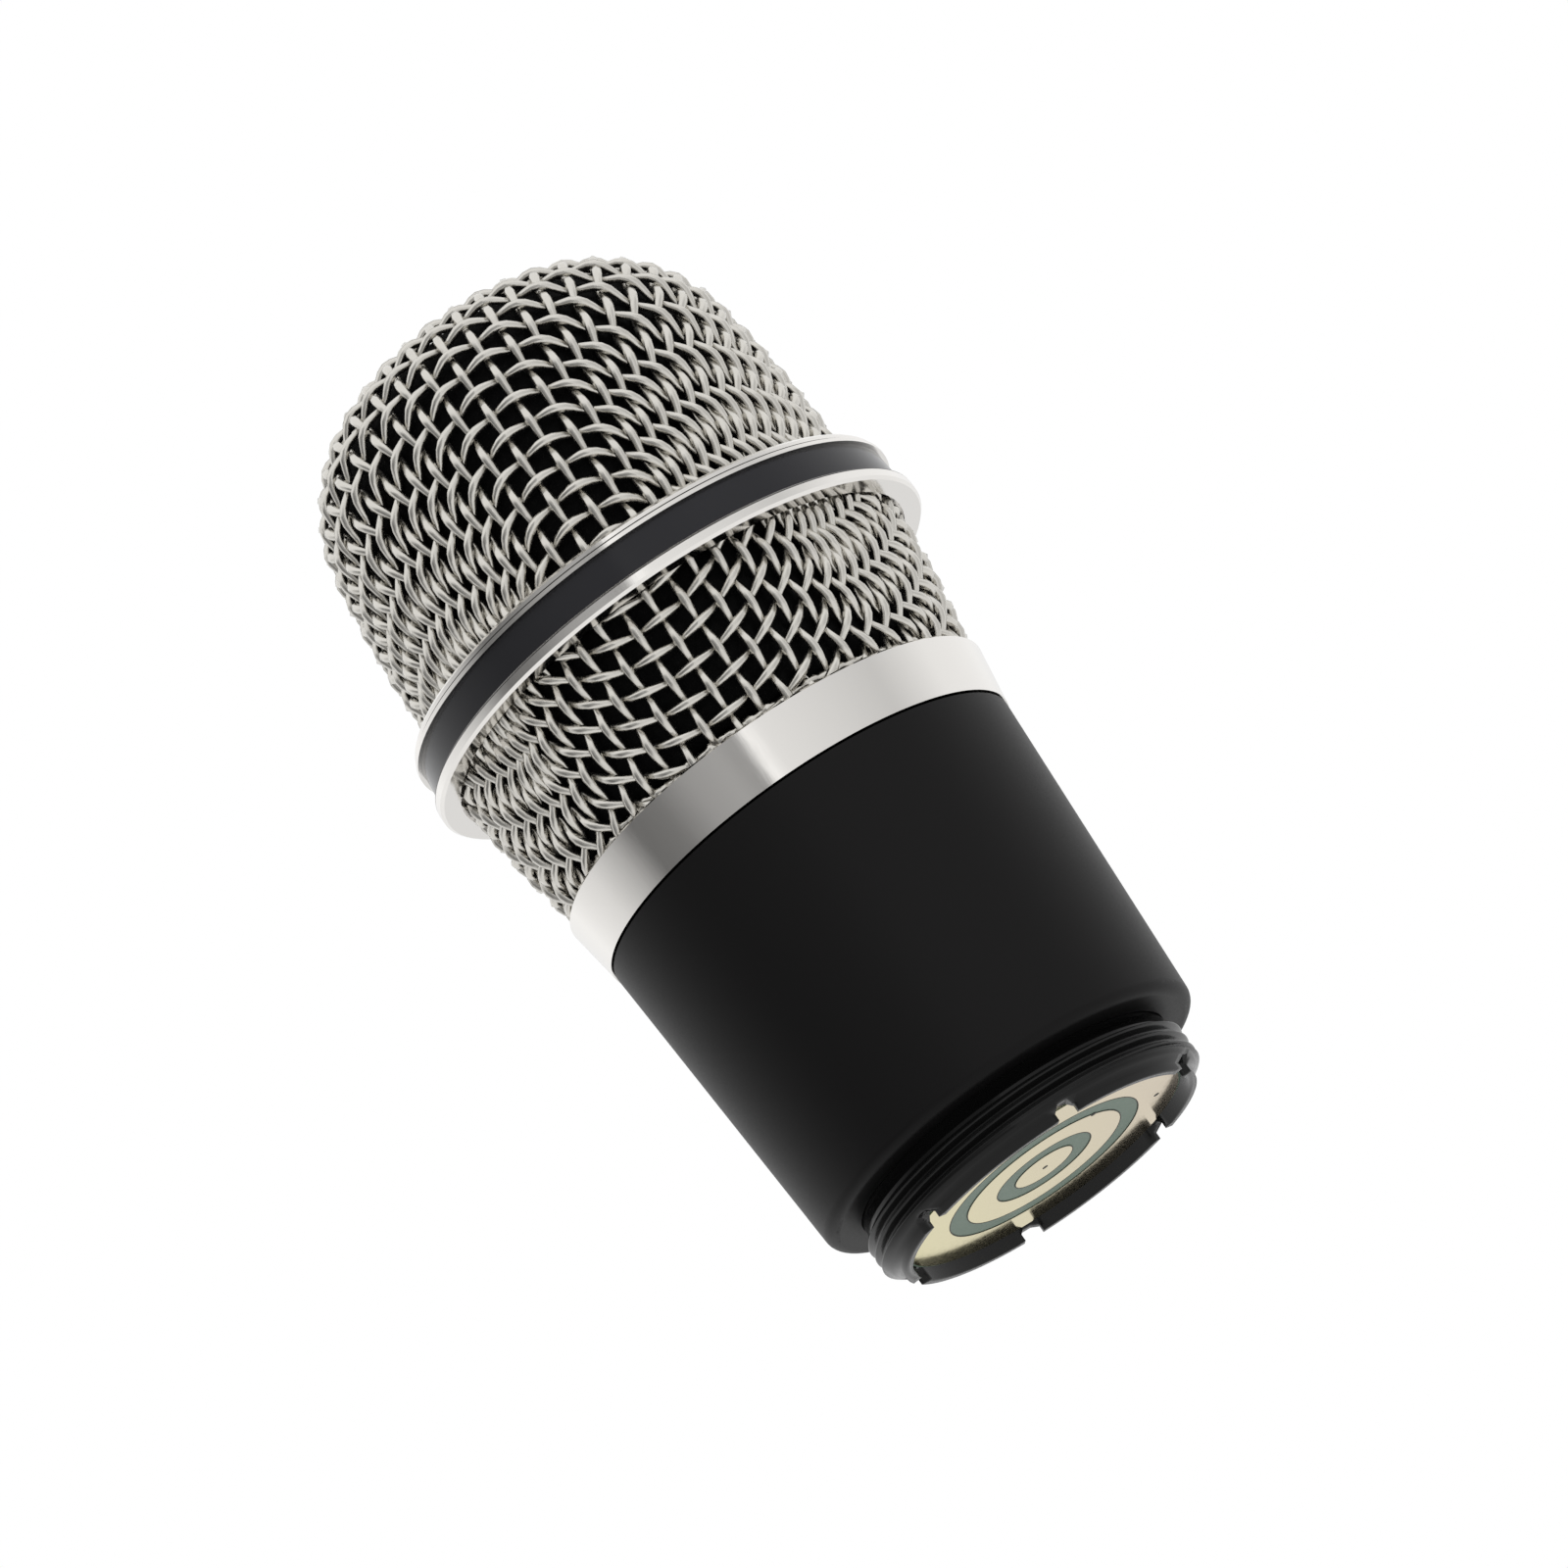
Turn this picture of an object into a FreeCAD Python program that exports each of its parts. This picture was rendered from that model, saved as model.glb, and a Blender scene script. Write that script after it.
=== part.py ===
import FreeCAD, Part
import math
import os
import Sketcher

# Wireless microphone capsule, standing upright on its notched rim.
# The axis is Z, the rim's end is the plane z = 0 and the grille dome points up. Lengths are millimetres.

SIZES = {
    # Threaded neck with its notched rim
    "thread_radius": 15.65,
    "thread_length": 3.0,
    "rim_setback": 1.25,
    "rim_height": 0.6,
    "lead_in": 0.85,
    "thread_depth": 0.75,
    "neck_relief": 1.05,
    "neck_flange_thickness": 1.5,
    "neck_flange_clearance": 0.3,
    "rim_wall": 0.8,
    "board_ledge": 1.2,
    "notch_count": 6,
    "notch_width": 1.9,
    "notch_depth": 1.1,
    "notch_corner": 0.5,
    "notch_turn": 46.5,
    # Contact board and its gold plated faces
    "board_recess": 1.05,
    "board_thickness": 1.6,
    "plating": 0.1,
    "mask_step": 0.04,
    "centre_contact_share": 0.2081,
    "middle_contact_inner_share": 0.3397,
    "middle_contact_outer_share": 0.5551,
    "outer_contact_inner_share": 0.6831,
    "outer_contact_margin": 0.3,
    "fit": 0.05,
    # Body sleeve
    "body_shoulder": 3.05,
    "body_flare": 1.68,
    "body_length": 29.4,
    "body_wall": 1.5,
    "body_edge": 1.0,
    "body_floor": 1.6,
    "shelf_width": 4.2,
    "shelf_depth": 6.0,
    "spigot_step": 1.48,
    "spigot_length": 4.3,
    # Collar between body and grille
    "collar_gap": 0.2,
    "collar_overhang": 0.12,
    "collar_flare": 0.75,
    "collar_length": 5.2,
    "collar_seat_depth": 1.0,
    "collar_lip": 0.45,
    "grille_foot_clearance": 0.25,
    "collar_edge": 0.15,
    # Woven wire walls
    "weave_depth": 1.1,
    "rib_width": 1.1,
    "rib_facet": 3.2,
    "course_width": 0.9,
    "course_sink": 0.25,
    "lower_curve": 80.0,
    "lower_rows": 5,
    "lower_ribs": 24,
    "dome_flare": 1.62,
    "dome_belly_rise": 2.5,
    "dome_side_curve": 100.0,
    "dome_side_height": 17.5,
    "dome_shoulder_curve": 13.0,
    "dome_crown_turn": 64.65,
    "upper_rows": 6,
    "upper_ribs": 18,
    "crown_ribs": 6,
    "crown_ring_radius": 7.6,
    "crown_eye_radius": 3.2,
    # Grille ring with its black band
    "ring_rise": 13.8,
    "ring_height": 5.4,
    "ring_ledge": 1.9,
    "lower_seat_step": 0.8,
    "lower_lip_wall": 1.85,
    "lower_lip": 1.2,
    "lip_edge": 0.25,
    "band_height": 3.1,
    "band_taper": 0.3,
    "band_thickness": 0.3,
    "band_sink": 0.3,
    "upper_lip_wall": 2.2,
    "upper_lip_step": 0.35,
    "ring_seat_depth": 1.3,
    # Foam linings
    "foam_clearance": 0.3,
    "upper_foam_thickness": 3.0,
    "lower_foam_thickness": 2.0,
    "foam_end_clearance": 0.3,
    # Capsule holder and its rubber ring
    "holder_flange": 1.8,
    "holder_wall": 1.2,
    "holder_height": 6.0,
    "holder_screws": 3,
    "screw_radius": 0.7,
    "screw_head_radius": 1.1,
    "screw_head_height": 1.0,
    "screw_length": 4.0,
    "screw_end_room": 0.4,
    "rubber_thickness": 1.6,
    "rubber_ledge": 0.6,
    "rubber_lip": 1.2,
    "rubber_height": 4.2,
    # Moving coil capsule
    "pole_setback": 7.4,
    "magnet_setback": 0.4,
    "magnet_height": 3.9,
    "coil_inner_gap": 0.25,
    "coil_wall": 0.55,
    "coil_outer_gap": 0.3,
    "coil_height": 3.6,
    "yoke_wall": 1.3,
    "yoke_height": 7.4,
    "yoke_floor": 1.8,
    "housing_room": 3.4,
    "housing_wall": 1.6,
    "housing_length": 11.0,
    "housing_floor": 1.5,
    "housing_eye": 5.0,
    "vent_radius": 1.0,
    "vent_count": 8,
    "felt_thickness": 1.2,
    "felt_clearance": 0.3,
    "rear_cup_setback": 1.8,
    "rear_cup_length": 11.0,
    "rear_cup_wall": 1.2,
    "lead_hole": 1.6,
    "diaphragm_thickness": 0.2,
    "diaphragm_rise": 1.4,
    "diaphragm_roll": 0.6,
    "diaphragm_setback": 0.4,
    "diaphragm_parts": 8,
    "cap_length": 3.2,
    "cap_top": 1.0,
    "cap_hole_radius": 1.3,
    "cap_hole_setback": 4.8,
    "cap_holes": 8,
    "terminal_radius": 7.5,
    "terminal_thickness": 1.0,
    # Leads from the capsule to the contact board
    "lead_radius": 0.5,
    "lead_offset": 3.0,
    "lead_sway": 4.5,
}

FULL_TURN = 360.0
AXIS = FreeCAD.Vector(0, 0, 1)
ORIGIN = FreeCAD.Vector(0, 0, 0)


class Size:
    """A length as a number together with the sheet formula that gives it."""

    def __init__(self, number, formula):
        self.number = number
        self.formula = formula

    def __add__(self, other):
        return combined(self, other, "+", self.number + as_size(other).number)

    def __sub__(self, other):
        return combined(self, other, "-", self.number - as_size(other).number)

    def __mul__(self, other):
        return combined(self, other, "*", self.number * as_size(other).number)

    def __truediv__(self, other):
        return combined(self, other, "/", self.number / as_size(other).number)


def as_size(value):
    if isinstance(value, Size):
        return value
    return Size(float(value), repr(float(value)))


def combined(first, second, sign, number):
    return Size(number, "({} {} {})".format(first.formula, sign, as_size(second).formula))


doc = FreeCAD.newDocument("microphone_capsule")
sheet = doc.addObject("Spreadsheet::Sheet", "sizes")
for row, (name, value) in enumerate(SIZES.items(), start=1):
    sheet.set("A{}".format(row), name)
    sheet.set("B{}".format(row), str(value))
    sheet.setAlias("B{}".format(row), name)
doc.recompute()


def size(name):
    return Size(float(sheet.get(name)), "sizes.{}".format(name))


def number(name):
    return float(sheet.get(name))


def count(name):
    return int(round(number(name)))


# Radii, each from the piece that it fits

rim_radius = size("thread_radius") - size("rim_setback")
neck_radius = size("thread_radius") - size("thread_depth")
board_bore = rim_radius - size("rim_wall")
neck_bore = board_bore - size("board_ledge")
body_floor_bore = neck_radius + size("fit")
body_bottom_radius = body_floor_bore + size("body_shoulder")
body_top_radius = body_bottom_radius + size("body_flare")
body_bore_bottom = body_bottom_radius - size("body_wall")
body_bore_top = body_top_radius - size("body_wall")
neck_flange_radius = body_bore_bottom - size("neck_flange_clearance")
spigot_radius = body_top_radius - size("spigot_step")
shelf_bore = spigot_radius - size("shelf_width")
screw_circle = spigot_radius - size("shelf_width") / 2
collar_inner = spigot_radius + size("fit")
collar_bottom_radius = body_top_radius + size("collar_overhang")
collar_top_radius = collar_bottom_radius + size("collar_flare")
grille_foot = collar_top_radius - size("collar_lip")
dome_radius = body_top_radius + size("dome_flare")
lower_top_radius = dome_radius + size("lower_seat_step")
upper_seat = dome_radius + size("fit")
lower_seat = lower_top_radius + size("fit")
ring_bore = dome_radius - size("ring_ledge")
ring_radius = lower_seat + size("lower_lip_wall")
upper_lip_radius = upper_seat + size("upper_lip_wall")
groove_bottom_radius = ring_radius - size("lip_edge") - size("band_sink") - size("band_thickness")
groove_top_radius = groove_bottom_radius - size("band_taper")
centre_contact_radius = board_bore * size("centre_contact_share")
middle_contact_inner = board_bore * size("middle_contact_inner_share")
middle_contact_outer = board_bore * size("middle_contact_outer_share")
outer_contact_inner = board_bore * size("outer_contact_inner_share")
outer_contact_outer = board_bore - size("outer_contact_margin")
pole_radius = shelf_bore - size("pole_setback")
magnet_radius = pole_radius - size("magnet_setback")
coil_inner = pole_radius + size("coil_inner_gap")
coil_outer = coil_inner + size("coil_wall")
yoke_bore = coil_outer + size("coil_outer_gap")
yoke_radius = yoke_bore + size("yoke_wall")
housing_bore = yoke_radius + size("housing_room")
vent_circle = yoke_radius + size("housing_room") / 2
housing_radius = housing_bore + size("housing_wall")
diaphragm_radius = housing_radius - size("diaphragm_setback")
cap_hole_circle = housing_bore - size("cap_hole_setback")
rear_cup_radius = housing_radius - size("rear_cup_setback")
holder_bore = rear_cup_radius - size("rubber_ledge")
holder_inner = rear_cup_radius + size("rubber_thickness")
holder_wall_radius = holder_inner + size("holder_wall")

# Heights of the seats, each from the pieces below it

thread_start = size("rim_height") + size("lead_in")
thread_end = thread_start + size("thread_length")
body_bottom = thread_end + size("neck_relief")
body_floor_top = body_bottom + size("body_floor")
neck_top = body_floor_top + size("neck_flange_thickness")
board_bottom = size("board_recess") + size("plating")
board_top = board_bottom + size("board_thickness")
body_top = body_bottom + size("body_length")
spigot_top = body_top + size("spigot_length")
shelf_bottom = spigot_top - size("shelf_depth")
collar_bottom = body_top + size("collar_gap")
collar_top = collar_bottom + size("collar_length")
collar_seat = collar_top - size("collar_seat_depth")
ring_bottom = collar_top + size("ring_rise")
ring_top = ring_bottom + size("ring_height")
band_bottom = ring_bottom + size("lower_lip")
band_top = band_bottom + size("band_height")
lower_grille_top = ring_bottom + size("ring_seat_depth")
upper_grille_bottom = ring_top - size("ring_seat_depth")
holder_top = spigot_top + size("holder_flange")
holder_wall_top = holder_top + size("holder_height")
screw_seat = holder_top - size("screw_head_height")
screw_foot = screw_seat - size("screw_length")
cup_bottom = holder_top + size("rubber_lip")
cup_top = cup_bottom + size("rear_cup_length")
housing_floor_top = cup_top + size("housing_floor")
housing_top = cup_top + size("housing_length")
yoke_floor_top = housing_floor_top + size("yoke_floor")
yoke_top = housing_floor_top + size("yoke_height")
magnet_top = yoke_floor_top + size("magnet_height")
diaphragm_top = housing_top + size("diaphragm_thickness")
cap_top = diaphragm_top + size("cap_length")
terminal_bottom = cup_bottom - size("terminal_thickness")


def origin_plane(body, role):
    for feature in body.Origin.OriginFeatures:
        if feature.Role == role:
            return feature


def new_body(label):
    body = doc.addObject("PartDesign::Body", label)
    body.Label = label
    return body


def new_sketch(body, name, role="XZ_Plane"):
    sketch = body.newObject("Sketcher::SketchObject", name)
    sketch.AttachmentSupport = [(origin_plane(body, role), "")]
    sketch.MapMode = "FlatFace"
    return sketch


def pin_corner(sketch, line, across, up):
    """Holds the start of one line at a radius and a height that follow the sheet."""
    for kind, axis, value in (("DistanceX", -2, across), ("DistanceY", -1, up)):
        if abs(value.number) < 1e-9:
            sketch.addConstraint(Sketcher.Constraint("PointOnObject", line, 1, axis))
        else:
            held = sketch.addConstraint(Sketcher.Constraint(kind, -1, 1, line, 1, value.number))
            sketch.setExpression("Constraints[{}]".format(held), value.formula)


def draw_outline(sketch, corners):
    """Draws a closed outline of straight lines through corners given as (radius, height)."""
    corners = [(as_size(across), as_size(up)) for across, up in corners]
    for index, (across, up) in enumerate(corners):
        next_across, next_up = corners[(index + 1) % len(corners)]
        start = FreeCAD.Vector(across.number, up.number, 0)
        end = FreeCAD.Vector(next_across.number, next_up.number, 0)
        sketch.addGeometry(Part.LineSegment(start, end), False)
    for index in range(len(corners)):
        sketch.addConstraint(Sketcher.Constraint("Coincident", index, 2, (index + 1) % len(corners), 1))
    for index, (across, up) in enumerate(corners):
        pin_corner(sketch, index, across, up)


def turned(label, corners):
    """A turned piece: its half section revolved about the axis."""
    body = new_body(label)
    sketch = new_sketch(body, label + "_section")
    draw_outline(sketch, corners)
    turn = body.newObject("PartDesign::Revolution", label + "_turn")
    turn.Profile = sketch
    turn.ReferenceAxis = (sketch, ["V_Axis"])
    turn.Angle = FULL_TURN
    body.Tip = turn
    doc.recompute()
    return body


def circle_edges(shape, radius, height):
    """Names of the circular edges that lie at a radius and a height."""
    names = []
    for index, edge in enumerate(shape.Edges, start=1):
        curve = edge.Curve
        if not isinstance(curve, Part.Circle):
            continue
        if abs(curve.Radius - radius.number) < 1e-4 and abs(curve.Center.z - height.number) < 1e-4:
            names.append("Edge{}".format(index))
    return names


def rounded_edge(body, radius, height, rounding):
    base = body.Tip
    fillet = body.newObject("PartDesign::Fillet", body.Label + "_round")
    fillet.Base = (base, circle_edges(base.Shape, radius, height))
    fillet.Radius = rounding.number
    fillet.setExpression("Radius", rounding.formula)
    body.Tip = fillet
    doc.recompute()


def bored_ring(body, name, hole_radius, circle_radius, copies, bottom, top):
    """Drills a ring of equal holes along the axis, from one height up to another."""
    before = body.Tip.Shape.Volume
    sketch = new_sketch(body, "{}_{}_hole".format(body.Label, name), "XY_Plane")
    sketch.AttachmentOffset = FreeCAD.Placement(FreeCAD.Vector(0, 0, bottom.number), FreeCAD.Rotation())
    sketch.setExpression("AttachmentOffset.Base.z", bottom.formula)
    centre = FreeCAD.Vector(circle_radius.number, 0, 0)
    sketch.addGeometry(Part.Circle(centre, AXIS, hole_radius.number), False)
    sketch.addConstraint(Sketcher.Constraint("PointOnObject", 0, 3, -1))
    held = sketch.addConstraint(Sketcher.Constraint("DistanceX", -1, 1, 0, 3, circle_radius.number))
    sketch.setExpression("Constraints[{}]".format(held), circle_radius.formula)
    held = sketch.addConstraint(Sketcher.Constraint("Radius", 0, hole_radius.number))
    sketch.setExpression("Constraints[{}]".format(held), hole_radius.formula)
    pocket = body.newObject("PartDesign::Pocket", "{}_{}_bore".format(body.Label, name))
    pocket.Profile = sketch
    pocket.Type = "Length"
    depth = top - bottom
    pocket.Length = depth.number
    pocket.setExpression("Length", depth.formula)
    pocket.Reversed = True
    doc.recompute()
    if pocket.Shape.Volume >= before:
        raise ValueError("the hole in {} cuts nothing".format(body.Label))
    repeat_about_axis(body, pocket, copies)


def repeat_about_axis(body, feature, copies):
    pattern = body.newObject("PartDesign::PolarPattern", body.Label + "_pattern")
    pattern.Originals = [feature]
    pattern.Axis = (origin_axis(body), [""])
    pattern.Angle = FULL_TURN
    pattern.Occurrences = int(round(copies.number))
    pattern.setExpression("Occurrences", copies.formula)
    body.Tip = pattern
    doc.recompute()


def origin_axis(body):
    return origin_plane(body, "Z_Axis")


def shaped(label, shape):
    """A piece whose form is worked out below, with its label and its place."""
    piece = doc.addObject("Part::Feature", label)
    piece.Label = label
    piece.Shape = shape
    piece.Placement = FreeCAD.Placement()
    return piece


# Threaded neck: thread at its major radius, a lead-in cone and the thin rim that the piece stands on

threaded_neck = turned("threaded_neck", [
    (rim_radius, 0),
    (rim_radius, size("rim_height")),
    (size("thread_radius"), thread_start),
    (size("thread_radius"), thread_end),
    (neck_radius, thread_end),
    (neck_radius, body_floor_top),
    (neck_flange_radius, body_floor_top),
    (neck_flange_radius, neck_top),
    (neck_bore, neck_top),
    (neck_bore, board_top),
    (board_bore, board_top),
    (board_bore, 0),
])


def notched_rim(body):
    """Cuts the round-cornered spanner notches into the end of the rim."""
    before = body.Tip.Shape.Volume
    half = size("notch_width") / 2
    corner = size("notch_corner")
    depth = size("notch_depth")
    below = size("rim_height")
    sketch = new_sketch(body, "notch_section")
    left = as_size(0) - half
    outline = [
        (left, as_size(0) - below),
        (half, as_size(0) - below),
        (half, depth - corner),
        (half - corner, depth),
        (left + corner, depth),
        (left, depth - corner),
    ]
    draw_outline(sketch, outline)
    notch = body.newObject("PartDesign::Pocket", "notch")
    notch.Profile = sketch
    notch.Type = "Length"
    notch.Length = number("thread_radius")
    notch.setExpression("Length", "sizes.thread_radius")
    notch.Reversed = False
    doc.recompute()
    if notch.Shape.Volume >= before:
        raise ValueError("the notch cuts nothing")
    repeat_about_axis(body, notch, size("notch_count"))
    body.Placement = FreeCAD.Placement(ORIGIN, FreeCAD.Rotation(AXIS, number("notch_turn") + FULL_TURN / 4))


notched_rim(threaded_neck)

# Contact board with two raised rings of solder mask between its plated faces

mask_face = board_bottom - size("plating") + size("mask_step")
contact_board = turned("contact_board", [
    (0, board_bottom),
    (centre_contact_radius + size("fit"), board_bottom),
    (centre_contact_radius + size("fit"), mask_face),
    (middle_contact_inner - size("fit"), mask_face),
    (middle_contact_inner - size("fit"), board_bottom),
    (middle_contact_outer + size("fit"), board_bottom),
    (middle_contact_outer + size("fit"), mask_face),
    (outer_contact_inner - size("fit"), mask_face),
    (outer_contact_inner - size("fit"), board_bottom),
    (board_bore - size("fit"), board_bottom),
    (board_bore - size("fit"), board_top),
    (0, board_top),
])

centre_contact = turned("centre_contact", [
    (0, size("board_recess")),
    (centre_contact_radius, size("board_recess")),
    (centre_contact_radius, board_bottom),
    (0, board_bottom),
])


def contact_ring(label, inner, outer):
    return turned(label, [
        (inner, size("board_recess")),
        (outer, size("board_recess")),
        (outer, board_bottom),
        (inner, board_bottom),
    ])


contact_ring("middle_contact", middle_contact_inner, middle_contact_outer)
contact_ring("outer_contact", outer_contact_inner, outer_contact_outer)

# Body sleeve: tapered outside, a floor that the neck hangs in, a shelf and a spigot for the grille

body_shell = turned("body_shell", [
    (body_floor_bore, body_bottom),
    (body_bottom_radius, body_bottom),
    (body_top_radius, body_top),
    (spigot_radius, body_top),
    (spigot_radius, spigot_top),
    (shelf_bore, spigot_top),
    (shelf_bore, shelf_bottom),
    (body_bore_top, shelf_bottom - (body_bore_top - shelf_bore)),
    (body_bore_bottom, body_floor_top),
    (body_floor_bore, body_floor_top),
])
rounded_edge(body_shell, body_bottom_radius, body_bottom, size("body_edge"))
bored_ring(
    body_shell, "screw", size("screw_radius") + size("fit"), screw_circle, size("holder_screws"),
    screw_foot - size("screw_end_room"), spigot_top)

# Polished collar, screwed over the spigot, with a lip round the foot of the lower grille

grille_collar = turned("grille_collar", [
    (collar_inner, collar_bottom),
    (collar_bottom_radius, collar_bottom),
    (collar_top_radius, collar_top - size("collar_edge")),
    (collar_top_radius - size("collar_edge"), collar_top),
    (grille_foot, collar_top),
    (grille_foot, collar_seat),
    (collar_inner, collar_seat),
])

# Grille ring: lower flange, groove for the band, upper lip, and a seat for each grille

grille_ring = turned("grille_ring", [
    (ring_bore, lower_grille_top),
    (lower_seat, lower_grille_top),
    (lower_seat, ring_bottom),
    (ring_radius - size("lip_edge"), ring_bottom),
    (ring_radius, ring_bottom + size("lip_edge")),
    (ring_radius, band_bottom - size("lip_edge")),
    (ring_radius - size("lip_edge"), band_bottom),
    (groove_bottom_radius, band_bottom),
    (groove_top_radius, band_top),
    (upper_lip_radius, band_top),
    (upper_lip_radius, band_top + size("upper_lip_step")),
    (upper_lip_radius - size("lip_edge"), band_top + size("upper_lip_step")),
    (upper_lip_radius - size("lip_edge"), ring_top - size("lip_edge")),
    (upper_lip_radius - size("lip_edge") * 2, ring_top),
    (upper_seat, ring_top),
    (upper_seat, upper_grille_bottom),
    (ring_bore, upper_grille_bottom),
])

ring_band = turned("ring_band", [
    (groove_bottom_radius, band_bottom),
    (groove_bottom_radius + size("band_thickness"), band_bottom),
    (groove_top_radius + size("band_thickness"), band_top),
    (groove_top_radius, band_top),
])


# Profiles of the drawn wire walls, as chains of tangent arcs, worked out from the outside inwards

def polar_point(centre, radius, angle):
    return FreeCAD.Vector(centre[0] + radius * math.cos(angle), 0, centre[1] + radius * math.sin(angle))


def closed_face(points):
    return Part.Face(Part.makePolygon(points + [points[0]]))


class DrawnWall:
    """A wall of revolution whose outside is a chain of arcs: (centre, radius, start angle, end angle)."""

    def __init__(self, arcs):
        self.arcs = arcs

    def lengths(self):
        return [radius * (end - start) for centre, radius, start, end in self.arcs]

    def at(self, distance):
        """Point and outward angle at a distance along the outside, from the foot."""
        for (centre, radius, start, end), length in zip(self.arcs, self.lengths()):
            if distance <= length:
                break
            distance -= length
        else:
            distance = length
        angle = start + distance / radius
        return polar_point(centre, radius, angle), angle

    def outline(self, inset, step):
        """Points along the wall at an inset, about a step apart, with every join of two arcs among them."""
        points = []
        for (centre, radius, start, end), length in zip(self.arcs, self.lengths()):
            parts = max(1, math.ceil(length / step))
            for part in range(parts):
                points.append(polar_point(centre, radius - inset, start + (end - start) * part / parts))
        centre, radius, start, end = self.arcs[-1]
        points.append(polar_point(centre, radius - inset, end))
        return points

    def section(self, outer_inset, inner_inset, step):
        """Closed half section between two insets."""
        return closed_face(self.outline(outer_inset, step) + self.outline(inner_inset, step)[::-1])

    def course(self, distance, width, outer_inset, inner_inset, sides):
        """A ring of straight bars of square section round the wall, one bar to each side."""
        point, angle = self.at(distance)
        out = FreeCAD.Vector(math.cos(angle), 0, math.sin(angle))
        along = FreeCAD.Vector(-math.sin(angle), 0, math.cos(angle))
        corners = []
        for inset, side in ((outer_inset, -1), (outer_inset, 1), (inner_inset, 1), (inner_inset, -1)):
            corners.append(point - out * inset + along * (side * width / 2))
        faces = []
        for index in range(sides):
            here = FreeCAD.Rotation(AXIS, FULL_TURN * index / sides)
            there = FreeCAD.Rotation(AXIS, FULL_TURN * (index + 1) / sides)
            for corner, follower in zip(corners, corners[1:] + corners[:1]):
                quad = [here.multVec(corner), here.multVec(follower)]
                quad += [there.multVec(follower), there.multVec(corner)]
                faces.append(closed_face(quad))
        ring = Part.Solid(Part.Shell(faces))
        if ring.Volume < 0:
            ring.reverse()
        return ring


def dome_wall():
    """Side, shoulder and crown of the dome, tangent to each other, from the seat in the ring upwards."""
    side_radius = number("dome_side_curve")
    belly = ring_top.number + number("dome_belly_rise")
    side_centre = (dome_radius.number - side_radius, belly)
    foot = math.asin((upper_grille_bottom.number - belly) / side_radius)
    turn = math.asin((ring_top.number + number("dome_side_height") - belly) / side_radius)
    shoulder_radius = number("dome_shoulder_curve")
    reach = side_radius - shoulder_radius
    shoulder_centre = (side_centre[0] + reach * math.cos(turn), side_centre[1] + reach * math.sin(turn))
    crown_turn = math.radians(number("dome_crown_turn"))
    crown_radius = shoulder_radius + shoulder_centre[0] / math.cos(crown_turn)
    crown_centre = (0.0, shoulder_centre[1] - shoulder_centre[0] * math.tan(crown_turn))
    return DrawnWall([
        (side_centre, side_radius, foot, turn),
        (shoulder_centre, shoulder_radius, turn, crown_turn),
        (crown_centre, crown_radius, crown_turn, math.pi / 2),
    ])


def cone_wall():
    """Bulged cone between the collar and the ring."""
    radius = number("lower_curve")
    foot_radius = grille_foot.number - number("grille_foot_clearance")
    foot = FreeCAD.Vector(foot_radius, 0, collar_seat.number)
    head = FreeCAD.Vector(lower_top_radius.number, 0, lower_grille_top.number - number("fit"))
    chord = head - foot
    middle = (foot + head) * 0.5
    back = math.sqrt(radius ** 2 - (chord.Length / 2) ** 2)
    inward = FreeCAD.Vector(-chord.z, 0, chord.x).normalize()
    centre = middle + inward * back
    start = math.atan2(foot.z - centre.z, foot.x - centre.x)
    end = math.atan2(head.z - centre.z, head.x - centre.x)
    return DrawnWall([((centre.x, centre.z), radius, start, end)])


def rib(wall, inner_radius):
    """One upright rib: the wall's half section, as wide as a rib, outside an inner radius."""
    width = number("rib_width")
    section = wall.section(0, number("weave_depth"), number("rib_facet"))
    section.translate(FreeCAD.Vector(0, -width / 2, 0))
    plate = section.extrude(FreeCAD.Vector(0, width, 0))
    reach = ring_radius.number
    height = dome_top * 2
    keep = Part.makeBox(reach, width * 2, height, FreeCAD.Vector(inner_radius, -width, 0))
    return plate.common(keep)


def turned_copy(shape, index, copies):
    copy = shape.copy()
    copy.rotate(ORIGIN, AXIS, FULL_TURN * index / copies)
    return copy


def courses(wall, rows, sides, top_distance):
    """Rings round the wall, a little thinner than the ribs on both faces, with their corners in the ribs."""
    depth = number("weave_depth")
    sink = number("course_sink")
    width = number("course_width")
    rings = []
    for row in range(rows + 1):
        distance = width / 2 + (top_distance - width / 2) * row / rows
        rings.append(wall.course(distance, width, sink, depth - sink, sides))
    return rings


def fused(pieces):
    return pieces[0].multiFuse(pieces[1:]).removeSplitter()


dome = dome_wall()
cone = cone_wall()
dome_top = dome.outline(0, number("rib_facet"))[-1].z


def crown_distance(wall, radius):
    """Distance along the wall from its foot to where the crown has a given radius."""
    crown_curve = wall.arcs[-1][1]
    return sum(wall.lengths()) - crown_curve * math.asin(radius / crown_curve)


def make_upper_grille():
    """Dome of ribs and courses; only every few ribs run on over the crown."""
    ribs = count("upper_ribs")
    spared = ribs // count("crown_ribs")
    short_rib = rib(dome, number("crown_ring_radius"))
    long_rib = rib(dome, 0.0)
    pieces = []
    for index in range(ribs):
        pieces.append(turned_copy(short_rib if index % spared else long_rib, index, ribs))
    pieces += courses(dome, count("upper_rows"), ribs, crown_distance(dome, number("crown_ring_radius")))
    sink = number("course_sink")
    eye = crown_distance(dome, number("crown_eye_radius"))
    inner = number("weave_depth") - sink
    pieces.append(dome.course(eye, number("course_width"), sink, inner, count("crown_ribs")))
    return fused(pieces)


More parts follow.
